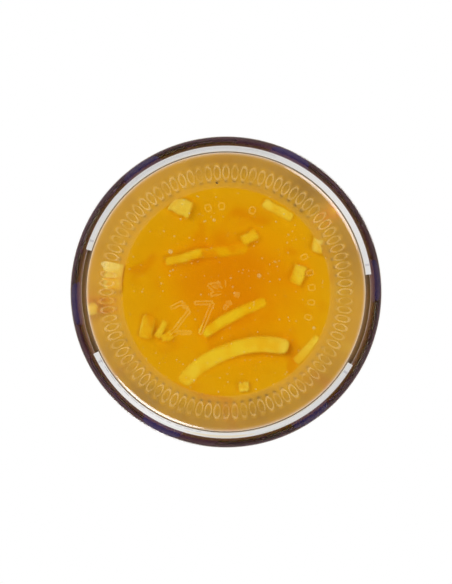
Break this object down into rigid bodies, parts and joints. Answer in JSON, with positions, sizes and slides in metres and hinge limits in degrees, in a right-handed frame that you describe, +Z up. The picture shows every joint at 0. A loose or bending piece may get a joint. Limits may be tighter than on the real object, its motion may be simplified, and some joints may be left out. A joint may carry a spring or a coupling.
{
  "type": "marmalade jar",
  "caption": "Round tapered glass jar filled with marmalade, shut with a twist-off metal lid, with a front and a back paper label.",
  "frame": {"origin": "on the jar's axis, in the plane that the tips of the bearing ring's stipples stand on", "axes": "+Z up the jar's axis towards the lid, -Y towards the middle of the front label"},
  "size_m": [0.084, 0.084, 0.0983],
  "materials": {
    "clear_glass": "clear moulded glass, smooth, with a stippled bearing ring",
    "marmalade": "clear orange jelly with cream and yellow shreds of peel",
    "navy_lacquer": "glossy navy lacquer on tinplate",
    "label_paper": "white coated paper"
  },
  "bodies": {
    "root": {"jar_glass": "clear_glass", "marmalade": "marmalade", "lid": "navy_lacquer", "label_front": "label_paper", "label_back": "label_paper"}
  },
  "joints": []
}
